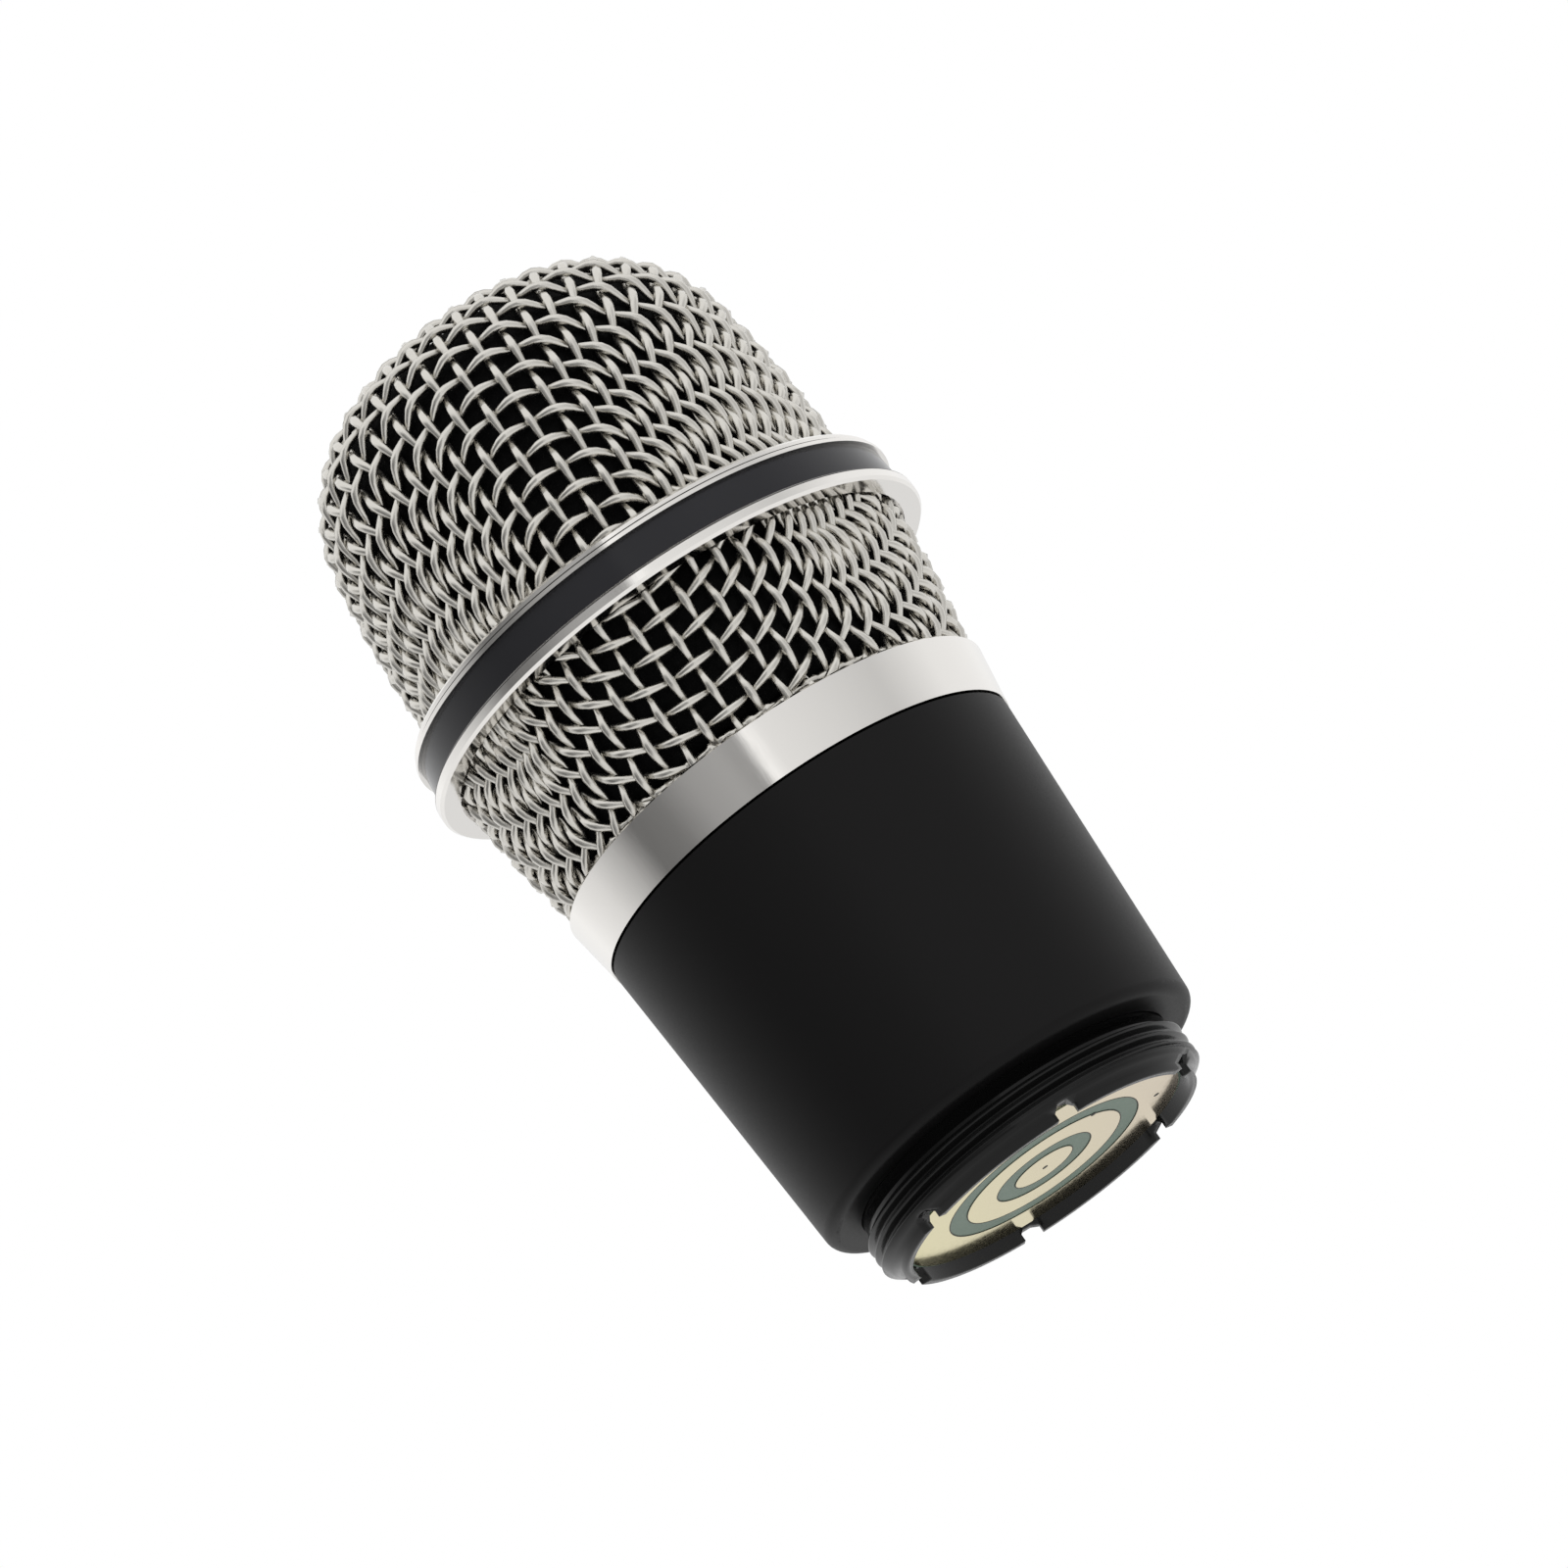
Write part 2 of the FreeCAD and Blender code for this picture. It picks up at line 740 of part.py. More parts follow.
def make_lower_grille():
    ribs = count("lower_ribs")
    upright = rib(cone, 0.0)
    pieces = [turned_copy(upright, index, ribs) for index in range(ribs)]
    pieces += courses(cone, count("lower_rows"), ribs, sum(cone.lengths()) - number("course_width") / 2)
    return fused(pieces)


shaped("upper_grille", make_upper_grille())
shaped("lower_grille", make_lower_grille())

# Foam linings, clear of the wire and of the seats


def foam_lining(wall, thickness, bottom, top):
    """A foam wall inside the wire, cut off at two heights."""
    outer = number("weave_depth") + number("foam_clearance")
    section = wall.section(outer, outer + thickness, number("rib_facet"))
    lining = section.revolve(ORIGIN, AXIS, FULL_TURN)
    slab = Part.makeCylinder(ring_radius.number, top - bottom, FreeCAD.Vector(0, 0, bottom))
    return lining.common(slab)


def make_upper_foam():
    bottom = upper_grille_bottom.number + number("foam_end_clearance")
    return foam_lining(dome, number("upper_foam_thickness"), bottom, dome_top)


def make_lower_foam():
    bottom = holder_top.number + number("foam_end_clearance")
    top = lower_grille_top.number - number("foam_end_clearance")
    return foam_lining(cone, number("lower_foam_thickness"), bottom, top)


shaped("upper_foam", make_upper_foam())
shaped("lower_foam", make_lower_foam())

# Capsule holder, screwed to the shelf, and the rubber ring that carries the capsule in it

capsule_holder = turned("capsule_holder", [
    (holder_bore, spigot_top),
    (spigot_radius - size("fit"), spigot_top),
    (spigot_radius - size("fit"), holder_top),
    (holder_wall_radius, holder_top),
    (holder_wall_radius, holder_wall_top),
    (holder_inner, holder_wall_top),
    (holder_inner, holder_top),
    (holder_bore, holder_top),
])
bored_ring(
    capsule_holder, "screw", size("screw_radius") + size("fit"), screw_circle,
    size("holder_screws"), spigot_top, screw_seat)
bored_ring(
    capsule_holder, "head", size("screw_head_radius") + size("fit"), screw_circle,
    size("holder_screws"), screw_seat, holder_top)

rubber_ring = turned("rubber_ring", [
    (holder_bore, holder_top),
    (holder_inner, holder_top),
    (holder_inner, holder_top + size("rubber_height")),
    (rear_cup_radius, holder_top + size("rubber_height")),
    (rear_cup_radius, cup_bottom),
    (holder_bore, cup_bottom),
])

# Moving coil capsule: rear cup, housing, magnet system, damping felt, diaphragm and front cap

rear_cup = turned("rear_cup", [
    (size("lead_hole"), cup_bottom),
    (rear_cup_radius, cup_bottom),
    (rear_cup_radius, cup_top),
    (rear_cup_radius - size("rear_cup_wall"), cup_top),
    (rear_cup_radius - size("rear_cup_wall"), cup_bottom + size("rear_cup_wall")),
    (size("lead_hole"), cup_bottom + size("rear_cup_wall")),
])

cartridge_housing = turned("cartridge_housing", [
    (size("housing_eye"), cup_top),
    (housing_radius, cup_top),
    (housing_radius, housing_top),
    (housing_bore, housing_top),
    (housing_bore, housing_floor_top),
    (size("housing_eye"), housing_floor_top),
])
bored_ring(
    cartridge_housing, "vent", size("vent_radius"), vent_circle, size("vent_count"),
    cup_top, housing_floor_top)

yoke_cup = turned("yoke_cup", [
    (0, housing_floor_top),
    (yoke_radius, housing_floor_top),
    (yoke_radius, yoke_top),
    (yoke_bore, yoke_top),
    (yoke_bore, yoke_floor_top),
    (0, yoke_floor_top),
])

magnet = turned("magnet", [
    (0, yoke_floor_top),
    (magnet_radius, yoke_floor_top),
    (magnet_radius, magnet_top),
    (0, magnet_top),
])

pole_piece = turned("pole_piece", [
    (0, magnet_top),
    (pole_radius, magnet_top),
    (pole_radius, yoke_top),
    (0, yoke_top),
])

voice_coil = turned("voice_coil", [
    (coil_inner, housing_top - size("coil_height")),
    (coil_outer, housing_top - size("coil_height")),
    (coil_outer, housing_top),
    (coil_inner, housing_top),
])

damping_felt = turned("damping_felt", [
    (yoke_radius + size("felt_clearance"), housing_floor_top),
    (housing_bore - size("felt_clearance"), housing_floor_top),
    (housing_bore - size("felt_clearance"), housing_floor_top + size("felt_thickness")),
    (yoke_radius + size("felt_clearance"), housing_floor_top + size("felt_thickness")),
])


def bulge(start_radius, end_radius, rise, level):
    """Points of a shallow arch between two radii, as a parabola."""
    points = []
    for part in range(count("diaphragm_parts")):
        share = part / count("diaphragm_parts")
        radius = start_radius + (end_radius - start_radius) * share
        points.append((radius, level + rise * 4 * share * (1 - share)))
    return points


def make_diaphragm():
    """Thin sheet: a shallow dome over the coil, a rolled surround and a flat clamped rim."""
    level = housing_top.number
    coil = coil_outer.number
    half_dome = bulge(-coil, coil, number("diaphragm_rise"), level)
    profile = [point for point in half_dome if point[0] >= 0]
    profile += bulge(coil, housing_bore.number, number("diaphragm_roll"), level)
    profile += [(housing_bore.number, level), (diaphragm_radius.number, level)]
    lower = [FreeCAD.Vector(radius, 0, height) for radius, height in profile]
    lift = FreeCAD.Vector(0, 0, number("diaphragm_thickness"))
    upper = [point + lift for point in lower]
    return closed_face(lower + upper[::-1]).revolve(ORIGIN, AXIS, FULL_TURN)


shaped("diaphragm", make_diaphragm())

front_cap = turned("front_cap", [
    (0, cap_top - size("cap_top")),
    (housing_bore, cap_top - size("cap_top")),
    (housing_bore, diaphragm_top),
    (housing_radius, diaphragm_top),
    (housing_radius, cap_top),
    (0, cap_top),
])
bored_ring(
    front_cap, "sound", size("cap_hole_radius"), cap_hole_circle, size("cap_holes"),
    cap_top - size("cap_top"), cap_top)

terminal_board = turned("terminal_board", [
    (size("lead_hole"), terminal_bottom),
    (size("terminal_radius"), terminal_bottom),
    (size("terminal_radius"), cup_bottom),
    (size("lead_hole"), cup_bottom),
])


# Screws through the holder's flange into the shelf

def make_holder_screws():
    """Cheese head screws, their heads sunk in the flange and their shanks in the shelf."""
    screws = []
    for index in range(count("holder_screws")):
        shank_foot = FreeCAD.Vector(screw_circle.number, 0, screw_foot.number)
        shank = Part.makeCylinder(number("screw_radius"), number("screw_length"), shank_foot)
        head_foot = FreeCAD.Vector(screw_circle.number, 0, screw_seat.number)
        head = Part.makeCylinder(number("screw_head_radius"), number("screw_head_height"), head_foot)
        screw = shank.fuse(head)
        screw.rotate(ORIGIN, AXIS, FULL_TURN * index / count("holder_screws"))
        screws.append(screw)
    return Part.makeCompound(screws)


# Leads: from the terminal board down through the body to the contact board

def rounded_path(points):
    """Straight runs joined by arcs that are tangent to both."""
    edges = []
    start = points[0]
    for index in range(1, len(points) - 1):
        before = points[index - 1]
        corner = points[index]
        after = points[index + 1]
        run_in = corner - before
        run_out = after - corner
        half_turn = run_in.getAngle(run_out) / 2
        cut = 0.45 * min(run_in.Length, run_out.Length)
        arc_start = corner - run_in.normalize() * cut
        arc_end = corner + run_out.normalize() * cut
        radius = cut / math.tan(half_turn)
        towards = (arc_start + arc_end) * 0.5 - corner
        sagitta = radius / math.cos(half_turn) - radius
        middle = corner + towards.normalize() * sagitta
        edges.append(Part.makeLine(start, arc_start))
        edges.append(Part.Arc(arc_start, middle, arc_end).toShape())
        start = arc_end
    edges.append(Part.makeLine(start, points[-1]))
    return Part.Wire(edges)


def make_lead(side):
    offset = number("lead_offset") * side
    sway = number("lead_sway") * side
    height = terminal_bottom.number - board_top.number
    bottom = board_top.number
    route = [
        FreeCAD.Vector(offset, 0, terminal_bottom.number),
        FreeCAD.Vector(offset, 0, bottom + height * 0.84),
        FreeCAD.Vector(offset + sway * 0.6, sway * 0.5, bottom + height * 0.62),
        FreeCAD.Vector(offset + sway * 0.8, sway, bottom + height * 0.38),
        FreeCAD.Vector(offset + sway * 0.3, sway * 0.6, bottom + height * 0.16),
        FreeCAD.Vector(offset + sway * 0.3, sway * 0.6, bottom),
    ]
    path = rounded_path(route)
    ring = Part.makeCircle(number("lead_radius"), route[0], AXIS)
    lead = path.makePipeShell([Part.Wire(ring)], True, True)
    expected = math.pi * number("lead_radius") ** 2 * path.Length
    if abs(lead.Volume / expected - 1) > 0.01:
        raise ValueError("the lead's volume is off")
    return lead


shaped("hot_lead", make_lead(1))
shaped("return_lead", make_lead(-1))
shaped("holder_screws", make_holder_screws())

doc.recompute()

# Every object and every piece is checked before anything is written

pieces = [item for item in doc.Objects if item.isDerivedFrom("PartDesign::Body")]
pieces += [item for item in doc.Objects if item.TypeId == "Part::Feature"]
for item in doc.Objects:
    if "Invalid" in item.State or "Error" in item.State:
        raise ValueError("{} did not build: {}".format(item.Name, item.State))
for piece in pieces:
    if piece.Shape.isNull() or not piece.Shape.isValid():
        raise ValueError("{} has no valid shape".format(piece.Label))

os.makedirs("parts", exist_ok=True)
for piece in pieces:
    piece.Shape.exportStep("parts/{}.step".format(piece.Label))
    print("{:20s} solids {} volume {:.1f}".format(piece.Label, len(piece.Shape.Solids), piece.Shape.Volume))
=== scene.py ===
import bmesh
import bpy
import math
from mathutils import Euler, Matrix, Vector, noise


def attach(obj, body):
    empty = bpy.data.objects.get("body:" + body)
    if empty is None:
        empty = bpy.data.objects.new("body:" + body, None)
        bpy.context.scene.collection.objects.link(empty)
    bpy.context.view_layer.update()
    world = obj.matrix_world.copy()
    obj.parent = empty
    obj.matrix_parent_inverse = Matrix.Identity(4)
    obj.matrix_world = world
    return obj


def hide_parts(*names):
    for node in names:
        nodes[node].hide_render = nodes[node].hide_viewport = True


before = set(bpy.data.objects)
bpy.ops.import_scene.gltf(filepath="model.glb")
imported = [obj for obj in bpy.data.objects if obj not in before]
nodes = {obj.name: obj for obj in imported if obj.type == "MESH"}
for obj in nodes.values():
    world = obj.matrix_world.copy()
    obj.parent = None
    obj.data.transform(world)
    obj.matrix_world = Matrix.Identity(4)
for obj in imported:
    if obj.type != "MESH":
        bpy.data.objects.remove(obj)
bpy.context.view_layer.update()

MM = 0.001
WHITE = (1.0, 1.0, 1.0, 1.0)


# Objects from bmesh work

MERGED = 0.001


def finished(bm, name, material, smooth=True, crease=None):
    """An object at the origin from a bmesh, with its material."""
    mesh = bpy.data.meshes.new(name)
    bm.to_mesh(mesh)
    bm.free()
    obj = bpy.data.objects.new(name, mesh)
    bpy.context.scene.collection.objects.link(obj)
    mesh.materials.append(material)
    if smooth:
        mesh.shade_smooth()
        if crease:
            mesh.set_sharp_from_angle(angle=math.radians(crease))
    else:
        mesh.shade_flat()
    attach(obj, "root")
    return obj


def copy_of_node(node):
    """The CAD piece's own mesh as a bmesh with its corners merged."""
    bm = bmesh.new()
    bm.from_mesh(nodes[node].data)
    bmesh.ops.transform(bm, matrix=nodes[node].matrix_world, verts=bm.verts)
    bmesh.ops.remove_doubles(bm, verts=bm.verts, dist=MERGED * MM)
    return bm


def new_verts(made):
    """The corners that an extrusion added."""
    return [item for item in made["geom"] if isinstance(item, bmesh.types.BMVert)]


def mesh_as_shown(obj):
    """A new mesh of what the object shows, with its modifier or its wire's thickness."""
    bpy.context.view_layer.update()
    return bpy.data.meshes.new_from_object(obj.evaluated_get(bpy.context.evaluated_depsgraph_get()))


# Finishes

def add_node(tree, kind, inputs=None, **settings):
    """A new node with its settings and the constants on its sockets."""
    made = tree.nodes.new(kind)
    for key, value in settings.items():
        setattr(made, key, value)
    for socket, value in (inputs or {}).items():
        made.inputs[socket].default_value = value
    return made


class Finish:
    """A Principled material whose patterns read Object coordinates."""

    def __init__(self, name, color, roughness, metallic=0.0):
        self.material = bpy.data.materials.new(name)
        self.material.use_nodes = True
        self.tree = self.material.node_tree
        self.link = self.tree.links.new
        self.shader = self.tree.nodes["Principled BSDF"]
        self.set("Base Color", (*color, 1.0))
        self.set("Roughness", roughness)
        self.set("Metallic", metallic)
        self.material.diffuse_color = (*color, 1.0)
        self.place = None

    def set(self, socket, value):
        self.shader.inputs[socket].default_value = value
        return self

    def coordinates(self, scale):
        """Object coordinates in millimetres, scaled on each axis."""
        if self.place is None:
            self.place = add_node(self.tree, "ShaderNodeTexCoord")
        mapping = add_node(self.tree, "ShaderNodeMapping", {"Scale": [value / MM for value in scale]})
        self.link(self.place.outputs["Object"], mapping.inputs["Vector"])
        return mapping.outputs["Vector"]

    def noise(self, scale, detail=3.0, roughness=0.6):
        texture = add_node(self.tree, "ShaderNodeTexNoise", {"Scale": 1.0, "Detail": detail, "Roughness": roughness})
        self.link(self.coordinates(scale), texture.inputs["Vector"])
        return texture.outputs["Fac"]

    def range(self, source, low, high, new_low, new_high):
        limits = {"From Min": low, "From Max": high, "To Min": new_low, "To Max": new_high}
        ramp = add_node(self.tree, "ShaderNodeMapRange", limits)
        self.link(source, ramp.inputs["Value"])
        return ramp.outputs["Result"]

    def along(self, axis, low, high):
        """0 to 1 from low to high, in millimetres along one axis of the object."""
        parts = add_node(self.tree, "ShaderNodeSeparateXYZ")
        self.link(self.coordinates((1.0, 1.0, 1.0)), parts.inputs[0])
        return self.range(parts.outputs[axis], low, high, 0.0, 1.0)

    def blend_color(self, source, first, last):
        """The colour goes from first to last as the source goes from 0 to 1."""
        ramp = add_node(self.tree, "ShaderNodeValToRGB")
        for stop, color in zip(ramp.color_ramp.elements, (first, last)):
            stop.color = (*color, 1.0)
        self.link(source, ramp.inputs["Fac"])
        self.link(ramp.outputs["Color"], self.shader.inputs["Base Color"])
        return self

    def vary_roughness(self, source, low, high, smooth, rough):
        self.link(self.range(source, low, high, smooth, rough), self.shader.inputs["Roughness"])
        return self

    def bump(self, source, strength, depth):
        bump = add_node(self.tree, "ShaderNodeBump", {"Strength": strength, "Distance": depth * MM})
        self.link(source, bump.inputs["Height"])
        self.link(bump.outputs["Normal"], self.shader.inputs["Normal"])
        return self


def plated_metal(name, color, roughness, patches, smooth, rough):
    """Plated metal whose polish varies in small patches."""
    finish = Finish(name, color, roughness, metallic=1.0)
    polish = finish.noise((patches, patches, patches))
    return finish.vary_roughness(polish, low=0.35, high=0.65, smooth=smooth, rough=rough)


def turned_metal(name, color, roughness, marks):
    """Bright metal with fine turning marks round the axis."""
    finish = Finish(name, color, roughness, metallic=1.0)
    rings = finish.noise((0.05, 0.05, marks), detail=4.0, roughness=0.7)
    finish.bump(rings, strength=0.25, depth=0.01)
    finish.vary_roughness(rings, low=0.3, high=0.7, smooth=roughness * 0.8, rough=roughness * 1.3)
    return finish.material


def wiped_metal(name, color, roughness, streaks):
    """Polished metal with faint streaks along the axis, as left by wiping."""
    finish = Finish(name, color, roughness, metallic=1.0)
    lines = finish.noise((streaks, streaks, 0.08), detail=2.0)
    finish.bump(lines, strength=0.35, depth=0.006)
    finish.vary_roughness(lines, low=0.3, high=0.7, smooth=roughness * 0.85, rough=roughness * 1.2)
    return finish.material


def coated(name, color, roughness, grain, depth, gloss=0.5):
    """A coat or moulding with an even fine grain."""
    finish = Finish(name, color, roughness).set("Specular IOR Level", gloss)
    speckle = finish.noise((grain, grain, grain))
    finish.bump(speckle, strength=0.4, depth=depth)
    finish.vary_roughness(speckle, low=0.35, high=0.65, smooth=roughness * 0.92, rough=min(1.0, roughness * 1.08))
    return finish.material


def gold_with_painted_reflection():
    """Pale gold plating, painted lighter and yellower at the left of the board than at the right: a painted
    reflection of a brighter, warmer room on that side.
    """
    finish = plated_metal("contact_gold", (0.76, 0.66, 0.43), 0.13, patches=2.0, smooth=0.10, rough=0.17)
    # Painted reflection: the base colour runs from light yellow gold at the left to darker gold at the right.
    across = finish.along("X", -13.0, 13.0)
    return finish.blend_color(across, (0.82, 0.745, 0.40), (0.70, 0.585, 0.43)).material


bright_wire = plated_metal("bright_wire", (0.66, 0.64, 0.595), 0.26, patches=1.3, smooth=0.20, rough=0.32).material
bright_metal = wiped_metal("bright_metal", (0.82, 0.80, 0.77), 0.13, streaks=3.0)
black_band = Finish("black_band", (0.010, 0.010, 0.012), 0.16).set("Specular IOR Level", 0.22).material
black_body = coated("black_body", (0.0052, 0.0050, 0.0051), 0.44, grain=9.0, depth=0.012, gloss=0.11)
black_neck = coated("black_neck", (0.006, 0.006, 0.006), 0.19, grain=6.0, depth=0.006, gloss=0.2)
solder_mask = coated("board", (0.13, 0.20, 0.145), 0.42, grain=3.0, depth=0.006, gloss=0.4)
contact_gold = gold_with_painted_reflection()
black_foam = coated("foam", (0.003, 0.003, 0.003), 0.95, grain=2.2, depth=0.25, gloss=0.1)
holder_plastic = coated("holder_plastic", (0.03, 0.03, 0.03), 0.5, grain=4.0, depth=0.01)
soft_rubber = coated("rubber", (0.02, 0.02, 0.02), 0.75, grain=3.0, depth=0.01)
capsule_plastic = coated("capsule_plastic", (0.05, 0.05, 0.055), 0.45, grain=4.0, depth=0.01)
soft_iron = turned_metal("soft_iron", (0.45, 0.45, 0.46), 0.35, marks=5.0)
magnet_metal = turned_metal("magnet_metal", (0.50, 0.50, 0.50), 0.3, marks=5.0)
copper = turned_metal("copper", (0.65, 0.32, 0.16), 0.35, marks=14.0)
clear_film = Finish("clear_film", (0.70, 0.68, 0.60), 0.2).material
pressed_felt = coated("felt", (0.60, 0.58, 0.52), 0.95, grain=4.0, depth=0.1)
plated_steel = Finish("steel", (0.40, 0.40, 0.41), 0.32, metallic=1.0).material
red_lead = Finish("red_lead", (0.55, 0.03, 0.03), 0.45).material
black_lead = Finish("black_lead", (0.02, 0.02, 0.02), 0.45).material
# Dark discs of painted shade for the via holes; the same dark colour also draws the lines where the mask meets the
# gold.
hole_shade_and_edge_dark = Finish("via_hole", (0.02, 0.018, 0.012), 0.6).material
# Dark metal for the lines of painted shade in the ring's step corner and under its chamfer.
groove_shade_dark = Finish("painted_groove_shade", (0.05, 0.048, 0.045), 0.4, metallic=1.0).material

for node, material in {
    "grille_ring": bright_metal,
    "ring_band": black_band,
    "grille_collar": bright_metal,
    "body_shell": black_body,
    "threaded_neck": black_neck,
    "contact_board": solder_mask,
    "centre_contact": contact_gold,
    "middle_contact": contact_gold,
    "outer_contact": contact_gold,
    "upper_grille": bright_wire,
    "lower_grille": bright_wire,
    "upper_foam": black_foam,
    "lower_foam": black_foam,
    "capsule_holder": holder_plastic,
    "holder_screws": plated_steel,
    "rubber_ring": soft_rubber,
    "rear_cup": capsule_plastic,
    "cartridge_housing": capsule_plastic,
    "yoke_cup": soft_iron,
    "magnet": magnet_metal,
    "pole_piece": soft_iron,
    "voice_coil": copper,
    "damping_felt": pressed_felt,
    "diaphragm": clear_film,
    "front_cap": capsule_plastic,
    "terminal_board": solder_mask,
    "hot_lead": red_lead,
    "return_lead": black_lead,
}.items():
    slots = nodes[node].data.materials
    slots.clear()
    slots.append(material)


# Square cloth drawn over a wall, which is arcs of an outline turned about the axis. All in millimetres.

ON_AXIS = 1e-6
MEET_TRIES = 20
SETTLED = 0.0003
FLAT_CORNER = 0.02
CLOSED_MESH = 0.35
FULL_DRAW_RADIUS = 20


class Arc:
    """One arc of the outline: centre across and up, radius, and the two directions it runs between."""

    def __init__(self, across, up, radius, start, end):
        self.across = across
        self.up = up
        self.radius = radius
        self.start = start
        self.end = end


def wall_distance(point, arcs, inset):
    """Distance outwards from the surface that lies inset inside the wall, and the direction outwards."""
    across = math.hypot(point.x, point.y)
    nearest = None
    for arc in arcs:
        turn = math.atan2(point.z - arc.up, across - arc.across)
        miss = max(arc.start - turn, turn - arc.end, 0.0)
        if nearest is None or miss < nearest[0]:
            nearest = (miss, arc)
    arc = nearest[1]
    out = Vector((across - arc.across, point.z - arc.up))
    length = out.length
    out /= length
    if across < ON_AXIS:
        normal = Vector((0, 0, out.y))
    else:
        normal = Vector((point.x / across * out.x, point.y / across * out.x, out.y))
    return length - (arc.radius - inset), normal


def meet(start, plane, spans, arcs, inset):
    """The point on the wall at each given distance from a point of spans, and on the plane if there is one."""
    point = start.copy()
    limit = spans[0][1]
    for _ in range(MEET_TRIES):
        distance, normal = wall_distance(point, arcs, inset)
        rows = [normal]
        misses = [distance]
        if plane:
            rows.append(plane)
            misses.append(point.dot(plane))
        for corner, span in spans:
            away = point - corner
            rows.append(away.normalized())
            misses.append(away.length - span)
        matrix = Matrix(rows)
        if abs(matrix.determinant()) < FLAT_CORNER:
            return None
        change = matrix.inverted() @ Vector(misses)
        if change.length > limit:
            change *= limit / change.length
        point = point - change
        if change.length < SETTLED:
            return point
    return None


def drawn_lengths(place, drawn):
    """How much longer than laid flat the wires near a place are, between the four straight courses of the cloth:
    those that run to the front first, then those that run to the side."""
    across = math.hypot(place.x, place.y)
    front = (place.y / across) ** 2
    side = (place.x / across) ** 2
    most = 2 * drawn * (4 * front * side) ** 2 * min(1.0, (across / FULL_DRAW_RADIUS) ** 2)
    return 1 + most * front, 1 + most * side


def straight_course(pole, plane, direction, arcs, inset, step, count):
    """Points of the wire that runs straight from the pole down the wall, a step apart."""
    course = [pole]
    for _ in range(count):
        found = meet(course[-1] + direction * step, plane, [(course[-1], step)], arcs, inset)
        if found is None:
            break
        direction = (found - course[-1]).normalized()
        course.append(found)
    return course


def cloth_net(arcs, inset, step, pole, count, drawn):
    """A quarter of the net that square cloth makes when it is drawn over the wall: rows of points."""
    front = straight_course(pole, Vector((1, 0, 0)), Vector((0, -1, 0)), arcs, inset, step, count)
    side = straight_course(pole, Vector((0, 1, 0)), Vector((1, 0, 0)), arcs, inset, step, count)
    rows = [front]
    for first in side[1:]:
        row = [first]
        before = rows[-1]
        for index in range(1, len(before)):
            if before[index] is None or row[-1] is None:
                row.append(None)
                continue
            guess = row[-1] + before[index] - before[index - 1]
            forward, sideward = drawn_lengths(guess, drawn)
            found = meet(guess, None, [(row[-1], step * forward), (before[index], step * sideward)], arcs, inset)
            if found is not None and (found - before[index - 1]).length < step * CLOSED_MESH:
                found = None
            row.append(found)
        rows.append(row)
    return rows


# Woven wires along the net

CLOTH_REACH = 75
CLOTH_INSET = 1.08
POINTS_PER_PITCH = 4
WIRE_ROUNDNESS = 1
FEWEST_POINTS = 3
END_CREASE = 75
PRESSED = 0.13


def woven_wall(name, arcs, pole, pitch, wire, phase, first, low, high, drawn):
    """Plain weave drawn over the wall: each wire passes over and under its crossings, and its ends are closed.
    phase is the place of the first wires from the pole, in quarter pitches, and first is 1 where the wires up
    the wall start above. drawn is how much longer its wires are at most between the straight courses."""
    step = pitch / POINTS_PER_PITCH
    reach = int(CLOTH_REACH / step)
    inset = wire * CLOTH_INSET
    net = cloth_net(arcs, inset, step, pole, reach, drawn)

    def at(u, v):
        """Point of the net u steps towards the front and v steps to the right."""
        if abs(v) >= len(net) or abs(u) >= len(net[abs(v)]):
            return None
        found = net[abs(v)][abs(u)]
        if found is None or not low <= found.z <= high:
            return None
        return Vector((-found.x if v < 0 else found.x, -found.y if u < 0 else found.y, found.z))

    curve = bpy.data.curves.new(name, "CURVE")
    curve.dimensions = "3D"
    curve.bevel_depth = wire / 2
    curve.bevel_resolution = WIRE_ROUNDNESS
    curve.use_fill_caps = True

    def lay(places):
        """One wire along these points."""
        if len(places) < FEWEST_POINTS:
            return
        spline = curve.splines.new("POLY")
        spline.points.add(len(places) - 1)
        for point, (place, swell) in zip(spline.points, places):
            point.co = (*place, 1.0)
            point.radius = swell

    for to_front in (True, False):
        own_phase, other_phase = phase if to_front else phase[::-1]
        start = first if to_front else -first
        for index in range(-reach // POINTS_PER_PITCH, reach // POINTS_PER_PITCH + 1):
            line = index * POINTS_PER_PITCH + own_phase
            if abs(line) > reach:
                continue
            run = []
            for along in range(-reach, reach + 1):
                place = at(along, line) if to_front else at(line, along)
                if place is None:
                    lay(run)
                    run = []
                    continue
                normal = wall_distance(place, arcs, inset)[1]
                turn = (along - other_phase) / POINTS_PER_PITCH
                wave = math.cos(math.pi * turn) * (-1) ** index * start
                run.append((place + normal * wave * wire * 0.5, 1 + PRESSED * wave))
            lay(run)
    holder = bpy.data.objects.new(name + "_curve", curve)
    bpy.context.scene.collection.objects.link(holder)
    mesh = mesh_as_shown(holder)
    bpy.data.objects.remove(holder)
    bm = bmesh.new()
    bm.from_mesh(mesh)
    bpy.data.meshes.remove(mesh)
    bmesh.ops.remove_doubles(bm, verts=[vert for vert in bm.verts if vert.is_boundary], dist=MERGED)
    bmesh.ops.scale(bm, vec=(MM, MM, MM), verts=bm.verts)
    bmesh.ops.recalc_face_normals(bm, faces=bm.faces)
    return finished(bm, name, bright_wire, crease=END_CREASE)


# Dome of the upper grille: crown, shoulder and side, from the cloth's pole at the crown down to the ring

UPPER_WIRE = 0.78
UPPER_PITCH = 2.40
DOME_TOP = 89.7
DOME_FOOT = 58.3
SHOULDER_RADIUS = 13.0
SIDE_LEAN = 0.15
side_turn = math.asin(SIDE_LEAN)
crown_turn = math.radians(64.65)

